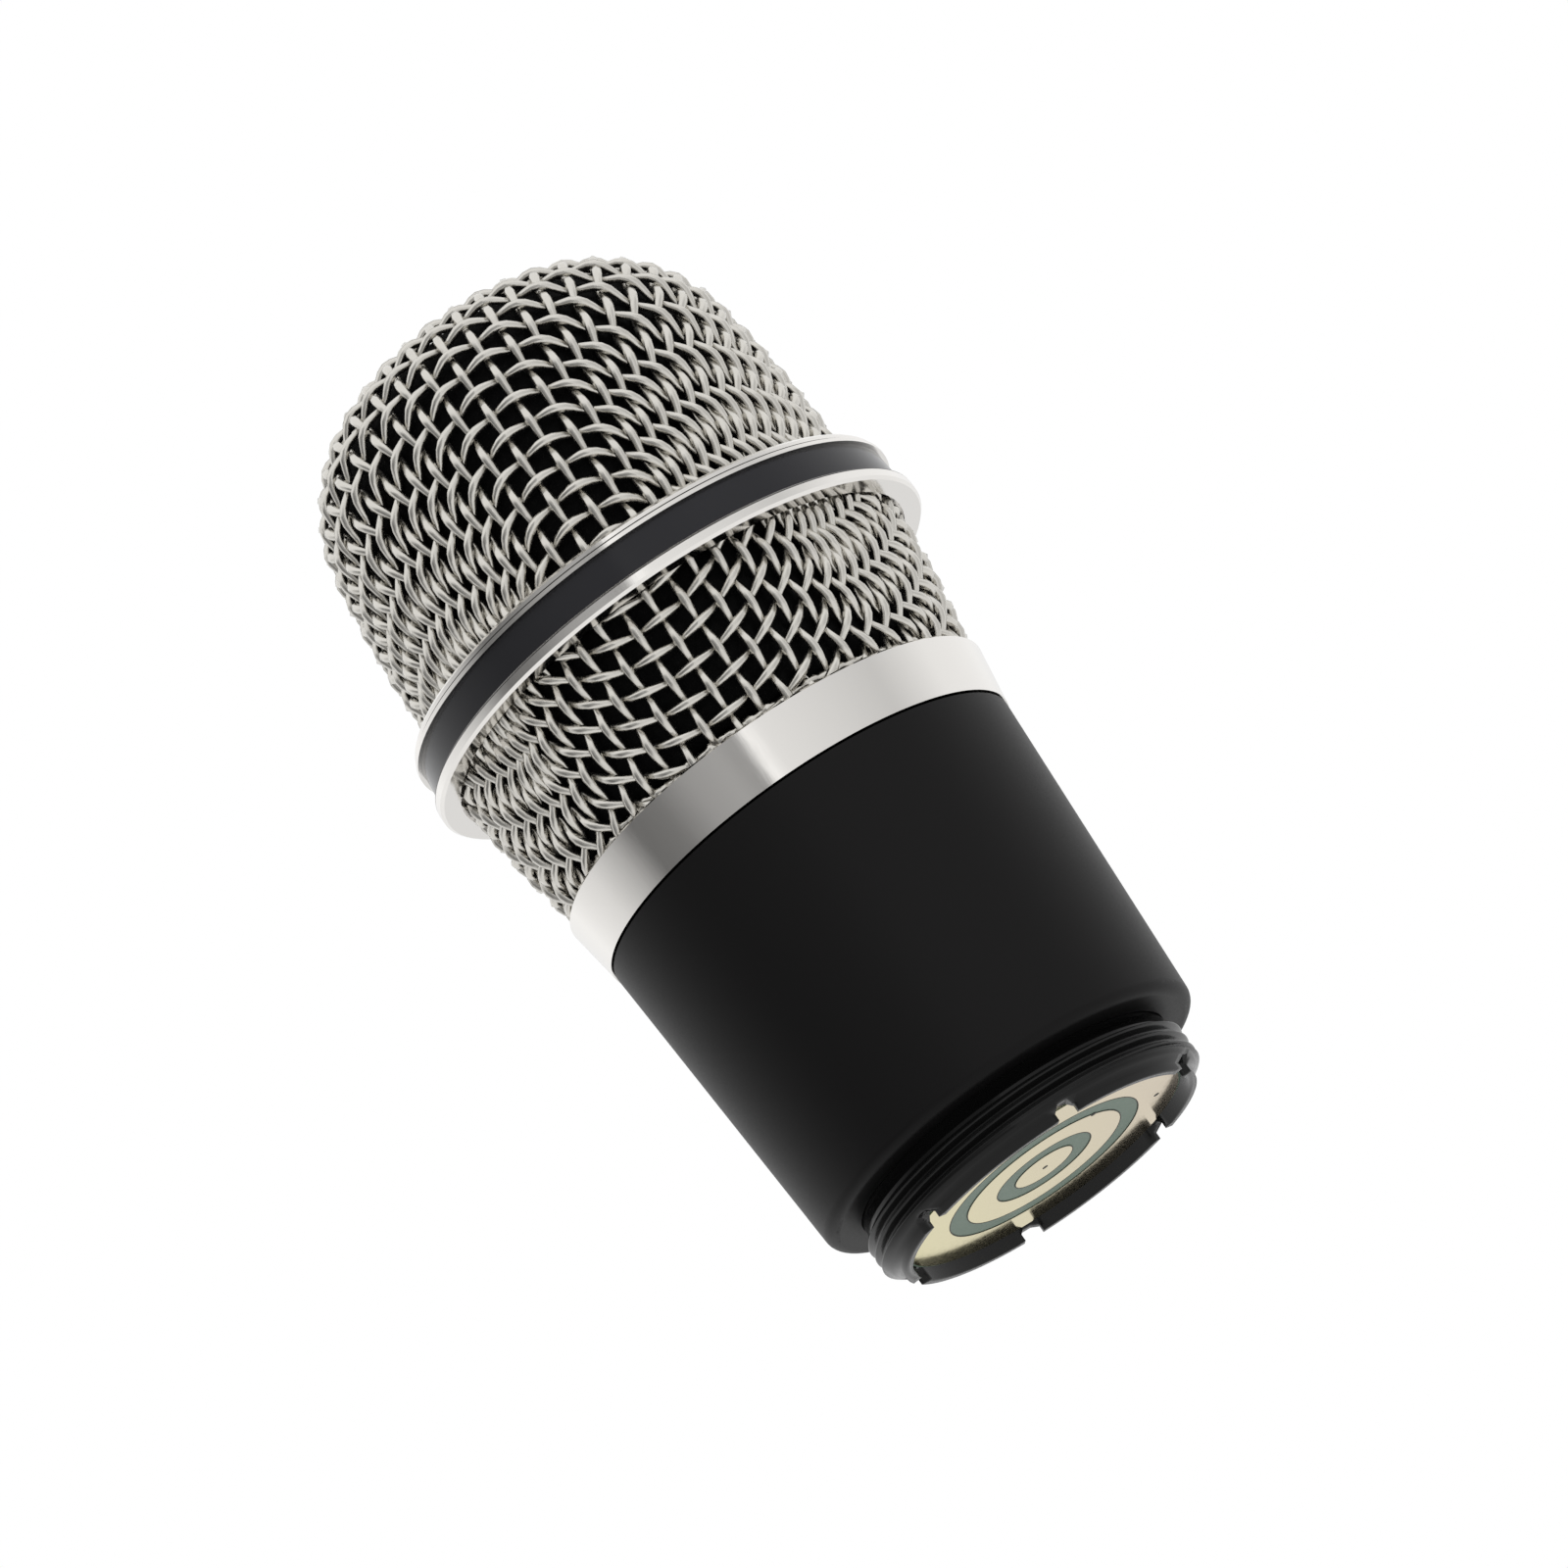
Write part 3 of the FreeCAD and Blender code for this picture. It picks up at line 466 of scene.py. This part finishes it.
dome_arcs = [
    Arc(across=-78.7, up=62.0, radius=100.0, start=-math.pi / 2, end=side_turn),
    Arc(across=7.316, up=77.0 - SIDE_LEAN * SHOULDER_RADIUS, radius=SHOULDER_RADIUS, start=side_turn, end=crown_turn),
    Arc(across=0.0, up=59.66, radius=30.04, start=crown_turn, end=math.pi),
]
upper_pole = Vector((0, 0, DOME_TOP - UPPER_WIRE * CLOTH_INSET))
upper_weave = woven_wall(
    "upper_weave", dome_arcs, upper_pole, UPPER_PITCH, UPPER_WIRE,
    phase=(2, 1), first=1, low=DOME_FOOT, high=DOME_TOP, drawn=0.12)
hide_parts("upper_grille")


# Cone of the lower grille, from the collar up to the ring

LOWER_WIRE = 0.75
LOWER_PITCH = 2.36
CONE_FOOT = 39.4
CONE_HEAD = 55.3
CONE_BULGE = 80.0
FORMER_CORNER = 7.0
FORMER_BEND = math.radians(-80.0)


def cone_arcs():
    """Side of the lower wall, with the round bottom that its cloth was drawn over before it was cut open."""
    foot = Vector((19.85, 39.3))
    head = Vector((22.1, 55.35))
    middle = (foot + head) / 2
    half = (head - foot).length / 2
    out = Vector((head.y - foot.y, foot.x - head.x)).normalized()
    centre = middle - out * math.sqrt(CONE_BULGE ** 2 - half ** 2)
    turn = math.atan2(foot.y - centre.y, foot.x - centre.x)
    corner = centre + (foot - centre).normalized() * (CONE_BULGE - FORMER_CORNER)
    bottom_up = corner.y - corner.x * math.tan(FORMER_BEND)
    bottom_radius = FORMER_CORNER + corner.x / math.cos(FORMER_BEND)
    return [
        Arc(centre.x, centre.y, CONE_BULGE, start=turn, end=math.pi / 2),
        Arc(corner.x, corner.y, FORMER_CORNER, start=FORMER_BEND, end=turn),
        Arc(0.0, bottom_up, bottom_radius, start=-math.pi, end=FORMER_BEND),
    ]


lower_arcs = cone_arcs()
lower_pole = Vector((0, 0, lower_arcs[2].up - lower_arcs[2].radius + LOWER_WIRE * CLOTH_INSET))
lower_weave = woven_wall(
    "lower_weave", lower_arcs, lower_pole, LOWER_PITCH, LOWER_WIRE,
    phase=(1, 1), first=-1, low=CONE_FOOT, high=CONE_HEAD, drawn=0.05)
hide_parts("lower_grille")


# Foam linings behind the wires

FOAM_CELL = 0.9
FOAM_BACK = 0.12
PORE_DEPTH = 0.45
LARGE_PORES = 1.1
SMALL_PORES = 2.3


def foam_lining(name, node, shift):
    """Open foam in the space of its solid, with a porous skin. shift moves the pores' pattern."""
    lining = finished(copy_of_node(node), name, black_foam)
    remesh = lining.modifiers.new("cells", "REMESH")
    remesh.mode = "VOXEL"
    remesh.voxel_size = FOAM_CELL * MM
    mesh = mesh_as_shown(lining)
    lining.modifiers.clear()
    plain = lining.data
    lining.data = mesh
    bpy.data.meshes.remove(plain)
    bm = bmesh.new()
    bm.from_mesh(mesh)
    bm.normal_update()
    for vertex in bm.verts:
        place = vertex.co / MM + Vector((shift, 0, 0))
        pore = max(0.0, noise.noise(place * LARGE_PORES)) + 0.5 * max(0.0, noise.noise(place * SMALL_PORES))
        vertex.co -= vertex.normal * (FOAM_BACK + PORE_DEPTH * pore) * MM
    bm.to_mesh(mesh)
    bm.free()
    mesh.materials.clear()
    mesh.materials.append(black_foam)
    mesh.shade_smooth()
    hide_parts(node)


foam_lining("upper_lining", "upper_foam", 0)
foam_lining("lower_lining", "lower_foam", 40)


# Neck with its thread cut in

THREAD_LOW = 1.45
THREAD_HIGH = 4.45
THREAD_RADIUS = 15.65
THREAD_PITCH = 1.0
THREAD_DEPTH = 0.61
THREAD_RUN_IN = 0.2
THREAD_RUNOUT = 0.4
RIDGE_FLAT = 0.1
THREAD_CUTS = 40
CUT_SLACK = 1e-7
ON_CYLINDER = 0.02
NEAR_CYLINDER = 0.06
END_SLACK = 0.01


def thread_faces(bm, slack):
    """The faces that lie on the plain cylinder where the thread goes."""
    return [face for face in bm.faces
            if all(abs(math.hypot(v.co.x, v.co.y) / MM - THREAD_RADIUS) < slack for v in face.verts)]


def thread_depth(height, azimuth):
    """Depth of the cut below the ridges at a height and at a share of the turn, in millimetres."""
    if height > THREAD_HIGH - THREAD_RUNOUT:
        return THREAD_DEPTH
    ridge = abs(((height - THREAD_LOW) / THREAD_PITCH - azimuth) % 1.0 * 2 - 1)
    share = min(1.0, max(0.0, (ridge - RIDGE_FLAT) / (1 - 2 * RIDGE_FLAT)))
    return THREAD_DEPTH * share * min(1.0, (height - THREAD_LOW) / THREAD_RUN_IN)


def cut_thread():
    """The neck's own mesh with the ridges of its thread cut into the plain cylinder."""
    bm = copy_of_node("threaded_neck")
    cylinder = thread_faces(bm, ON_CYLINDER)
    for index in range(1, THREAD_CUTS):
        height = (THREAD_LOW + (THREAD_HIGH - THREAD_LOW) * index / THREAD_CUTS) * MM
        edges = {edge for face in cylinder for edge in face.edges}
        verts = {vert for face in cylinder for vert in face.verts}
        bmesh.ops.bisect_plane(
            bm, geom=list(cylinder) + list(edges) + list(verts),
            plane_co=(0, 0, height), plane_no=(0, 0, 1), dist=CUT_SLACK)
        cylinder = thread_faces(bm, NEAR_CYLINDER)
    for vertex in bm.verts:
        across = math.hypot(vertex.co.x, vertex.co.y) / MM
        height = vertex.co.z / MM
        on_thread = THREAD_LOW + END_SLACK < height < THREAD_HIGH + END_SLACK
        if abs(across - THREAD_RADIUS) > NEAR_CYLINDER or not on_thread:
            continue
        azimuth = math.atan2(vertex.co.y, vertex.co.x) / (2 * math.pi)
        factor = 1 - thread_depth(height, azimuth) / across
        vertex.co.x *= factor
        vertex.co.y *= factor
    bmesh.ops.recalc_face_normals(bm, faces=bm.faces)
    neck = finished(bm, "neck_with_thread", black_neck)
    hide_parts("threaded_neck")


cut_thread()


# Plated holes in the contacts' faces, drawn as flat dark discs: painted shade where the holes are

BOARD_FACE = 1.05
HOLE_PLACES = ((0.06, 0.26), (5.75, -4.82), (10.91, 2.14))
HOLE_RADIUS = 0.26
HOLE_HEIGHT = 0.02
HOLE_PROUD = 0.012

# Each hole is a flat dark disc of painted shade, all but flush with the contact's face.
for index, (right, back) in enumerate(HOLE_PLACES):
    bm = bmesh.new()
    bmesh.ops.create_circle(bm, cap_ends=True, radius=HOLE_RADIUS * MM, segments=24)
    made = bmesh.ops.extrude_face_region(bm, geom=bm.faces[:])
    bmesh.ops.translate(bm, vec=(0, 0, HOLE_HEIGHT * MM), verts=new_verts(made))
    bmesh.ops.translate(bm, vec=(right * MM, back * MM, (BOARD_FACE - HOLE_PROUD) * MM), verts=bm.verts)
    bmesh.ops.recalc_face_normals(bm, faces=bm.faces)
    finished(bm, "via_%d" % index, hole_shade_and_edge_dark, smooth=False)


# Dark lines where the mask meets the gold

MASK_EDGES = (2.83, 4.62, 7.55, 9.29)
EDGE_WIDTH = 0.09
EDGE_HEIGHT = 0.02
EDGE_PROUD = 0.01

for index, radius in enumerate(MASK_EDGES):
    inner = radius - EDGE_WIDTH / 2
    growth = (radius + EDGE_WIDTH / 2) / inner
    bm = bmesh.new()
    bmesh.ops.create_circle(bm, radius=inner * MM, segments=128)
    made = bmesh.ops.extrude_edge_only(bm, edges=bm.edges[:])
    bmesh.ops.scale(bm, vec=(growth, growth, 1.0), verts=new_verts(made))
    bmesh.ops.solidify(bm, geom=bm.faces[:], thickness=EDGE_HEIGHT * MM)
    bmesh.ops.translate(bm, vec=(0, 0, (BOARD_FACE - EDGE_PROUD) * MM), verts=bm.verts)
    bmesh.ops.recalc_face_normals(bm, faces=bm.faces)
    finished(bm, "mask_edge_%d" % index, hole_shade_and_edge_dark, smooth=False)


# Painted shade of fine grooves on the ring's lips: narrow dark lines in the corner of the upper step and under the
# lower chamfer

LINE_SEGMENTS = 240
LINE_DEPTH = 0.05
LINE_CREASE = 40


def painted_groove_shade(name, radius, low, height):
    """A narrow dark line round the axis, all but flush with the metal under it: painted shade where a groove or a
    step's corner lies.
    """
    bm = bmesh.new()
    bmesh.ops.create_circle(bm, radius=radius * MM, segments=LINE_SEGMENTS)
    made = bmesh.ops.extrude_edge_only(bm, edges=bm.edges[:])
    bmesh.ops.translate(bm, vec=(0, 0, height * MM), verts=new_verts(made))
    bmesh.ops.recalc_face_normals(bm, faces=bm.faces)
    bmesh.ops.solidify(bm, geom=bm.faces[:], thickness=LINE_DEPTH * MM)
    bmesh.ops.translate(bm, vec=(0, 0, low * MM), verts=bm.verts)
    bmesh.ops.recalc_face_normals(bm, faces=bm.faces)
    finished(bm, name, groove_shade_dark, crease=LINE_CREASE)


# Painted shade in the corner of the upper step, and under the lower lip's chamfer.
painted_groove_shade("upper_lip_line", radius=23.33, low=58.75, height=0.17)
painted_groove_shade("lower_lip_line", radius=23.985, low=55.045, height=0.075)


# Crushed edge of the lower cloth, where it goes into the collar

FOLD_RADIUS = 19.1
FOLD_HEIGHT = 40.78
FOLD_THICKNESS = 0.42
CRUSH_GRAIN = 1.4
CRUSH_SHARE = 1.1


def crushed_edge():
    """The cloth's folded lower edge: a bright uneven ring just above the collar."""
    bm = bmesh.new()
    bmesh.ops.create_circle(bm, radius=FOLD_THICKNESS * MM, segments=8)
    bmesh.ops.rotate(bm, matrix=Matrix.Rotation(math.pi / 2, 3, "X"), verts=bm.verts)
    bmesh.ops.translate(bm, vec=(FOLD_RADIUS * MM, 0, FOLD_HEIGHT * MM), verts=bm.verts)
    bmesh.ops.spin(bm, geom=bm.verts[:] + bm.edges[:], angle=2 * math.pi, steps=360, use_merge=True, axis=(0, 0, 1))
    bm.normal_update()
    for vertex in bm.verts:
        crush = noise.noise(vertex.co / MM * CRUSH_GRAIN) * FOLD_THICKNESS * CRUSH_SHARE
        vertex.co += vertex.normal * crush * MM
    bmesh.ops.recalc_face_normals(bm, faces=bm.faces)
    finished(bm, "lower_cloth_edge", bright_wire)


crushed_edge()


# Floor

FLOOR_COLOR = (0.90, 0.90, 0.90, 1.0)
FLOOR_ROUGHNESS = 0.8
FLOOR_HALF = 1500.0


def pale_floor():
    """A plain pale floor that shows from above and takes the object's shadow."""
    material = bpy.data.materials.new("pale_floor")
    material.use_nodes = True
    tree = material.node_tree
    link = tree.links.new
    shader = tree.nodes["Principled BSDF"]
    shader.inputs["Base Color"].default_value = FLOOR_COLOR
    shader.inputs["Roughness"].default_value = FLOOR_ROUGHNESS
    side = add_node(tree, "ShaderNodeNewGeometry")
    path = add_node(tree, "ShaderNodeLightPath")
    clear = add_node(tree, "ShaderNodeBsdfTransparent")
    mix = add_node(tree, "ShaderNodeMixShader")
    above = add_node(tree, "ShaderNodeMath", operation="SUBTRACT", use_clamp=True)
    link(path.outputs["Is Camera Ray"], above.inputs[0])
    link(side.outputs["Backfacing"], above.inputs[1])
    link(above.outputs[0], mix.inputs["Fac"])
    link(clear.outputs["BSDF"], mix.inputs[1])
    link(shader.outputs["BSDF"], mix.inputs[2])
    link(mix.outputs["Shader"], tree.nodes["Material Output"].inputs["Surface"])
    bm = bmesh.new()
    bmesh.ops.create_grid(bm, x_segments=1, y_segments=1, size=FLOOR_HALF * MM)
    mesh = bpy.data.meshes.new("floor")
    bm.to_mesh(mesh)
    bm.free()
    mesh.materials.append(material)
    floor = bpy.data.objects.new("floor", mesh)
    bpy.context.scene.collection.objects.link(floor)


pale_floor()


# Studio room: the walls' brightness round about in mirrored rays, by azimuth in degrees with the front at 0

ROOM_WALLS = (
    (-180, 0.85), (-140, 1.05), (-104, 0.82), (-82, 0.50), (-66, 0.16), (-48, 0.20), (-30, 0.36), (-13, 0.42),
    (-1, 0.32), (3, 1.20), (10, 0.90), (44, 0.78), (72, 0.66), (106, 0.95), (150, 1.0), (179.9, 0.85),
)

# Slopes of the mirrored direction, from -1 straight down to 1 straight up, and the room's strength low and high

WALL_TOP = 0.34
CEILING_START = 0.62
LOW_SLOPE = -0.5
HIGH_SLOPE = 0.7
LOW_STRENGTH = 0.95
HIGH_STRENGTH = 1.05
SOFT_LIGHT = 0.6


def paint_walls(walls):
    """Sets the ramp's stops to the walls' brightness. The ramp's first stop stays where it is, at -180 degrees."""
    stops = walls.color_ramp.elements
    while len(stops) > 1:
        stops.remove(stops[-1])
    for index, (azimuth, grey) in enumerate(ROOM_WALLS):
        stop = stops.new(azimuth / 360 + 0.5) if index else stops[0]
        stop.color = (grey, grey, grey, 1.0)


def studio_world():
    """White behind the object, a pale room with one grey side in its reflections, plain soft light on it."""
    world = bpy.data.worlds.new("studio")
    bpy.context.scene.world = world
    world.use_nodes = True
    tree = world.node_tree
    link = tree.links.new

    direction = add_node(tree, "ShaderNodeTexCoord")
    parts = add_node(tree, "ShaderNodeSeparateXYZ")
    link(direction.outputs["Generated"], parts.inputs[0])
    front = add_node(tree, "ShaderNodeMath", {1: -1.0}, operation="MULTIPLY")
    link(parts.outputs["Y"], front.inputs[0])
    azimuth = add_node(tree, "ShaderNodeMath", operation="ARCTAN2")
    link(parts.outputs["X"], azimuth.inputs[0])
    link(front.outputs[0], azimuth.inputs[1])
    round_about = add_node(tree, "ShaderNodeMapRange", {"From Min": -math.pi, "From Max": math.pi})
    link(azimuth.outputs[0], round_about.inputs["Value"])
    walls = add_node(tree, "ShaderNodeValToRGB")
    paint_walls(walls)
    link(round_about.outputs["Result"], walls.inputs["Fac"])

    slope = add_node(tree, "ShaderNodeMath", operation="ABSOLUTE")
    link(parts.outputs["Z"], slope.inputs[0])
    corner = {"From Min": WALL_TOP, "From Max": CEILING_START}
    off_level = add_node(tree, "ShaderNodeMapRange", corner, interpolation_type="SMOOTHSTEP")
    link(slope.outputs[0], off_level.inputs["Value"])
    ceiling = add_node(tree, "ShaderNodeMix", data_type="RGBA")
    ceiling.inputs["B"].default_value = WHITE
    link(off_level.outputs["Result"], ceiling.inputs["Factor"])
    link(walls.outputs["Color"], ceiling.inputs["A"])
    strengths = {"From Min": LOW_SLOPE, "From Max": HIGH_SLOPE, "To Min": LOW_STRENGTH, "To Max": HIGH_STRENGTH}
    height = add_node(tree, "ShaderNodeMapRange", strengths, interpolation_type="SMOOTHSTEP")
    link(parts.outputs["Z"], height.inputs["Value"])
    room = add_node(tree, "ShaderNodeBackground")
    link(ceiling.outputs["Result"], room.inputs["Color"])
    link(height.outputs["Result"], room.inputs["Strength"])

    soft = tree.nodes["Background"]
    soft.inputs["Color"].default_value = WHITE
    soft.inputs["Strength"].default_value = SOFT_LIGHT
    white = add_node(tree, "ShaderNodeBackground", {"Color": WHITE})
    path = add_node(tree, "ShaderNodeLightPath")
    mirrored = add_node(tree, "ShaderNodeMath", operation="MAXIMUM")
    link(path.outputs["Is Glossy Ray"], mirrored.inputs[0])
    link(path.outputs["Is Transmission Ray"], mirrored.inputs[1])
    on_object = add_node(tree, "ShaderNodeMixShader")
    link(mirrored.outputs[0], on_object.inputs["Fac"])
    link(soft.outputs[0], on_object.inputs[1])
    link(room.outputs[0], on_object.inputs[2])
    seen = add_node(tree, "ShaderNodeMixShader")
    link(path.outputs["Is Camera Ray"], seen.inputs["Fac"])
    link(on_object.outputs[0], seen.inputs[1])
    link(white.outputs[0], seen.inputs[2])
    link(seen.outputs[0], tree.nodes["World Output"].inputs["Surface"])


studio_world()


# Lamps and camera

def softbox(name, place, aim, size, power):
    """A square soft light aimed at a point of the object, places in millimetres."""
    light = bpy.data.lights.new(name, "AREA")
    light.shape = "SQUARE"
    light.size = size * MM
    light.energy = power
    obj = bpy.data.objects.new(name, light)
    bpy.context.scene.collection.objects.link(obj)
    obj.location = Vector(place) * MM
    obj.rotation_euler = (Vector(aim) - Vector(place)).to_track_quat("-Z", "Y").to_euler()
    obj.visible_glossy = False


softbox("key", place=(420, -330, 320), aim=(0, 0, 45), size=320, power=3.4)
softbox("fill", place=(-420, -420, 160), aim=(0, 0, 50), size=400, power=1.0)

CAMERA_PLACE = (0.0, -775.95, -189.60)
CAMERA_TURN = (110.00317, 33.81548, 11.38940)

camera = bpy.data.cameras.new("camera")
camera.sensor_width = 36.0
camera.lens = 224.73
camera.clip_start = 0.01
camera_object = bpy.data.objects.new("camera", camera)
bpy.context.scene.collection.objects.link(camera_object)
camera_object.location = Vector(CAMERA_PLACE) * MM
camera_object.rotation_euler = Euler([math.radians(angle) for angle in CAMERA_TURN], "XYZ")
bpy.context.scene.camera = camera_object
bpy.context.scene.view_settings.view_transform = "Standard"
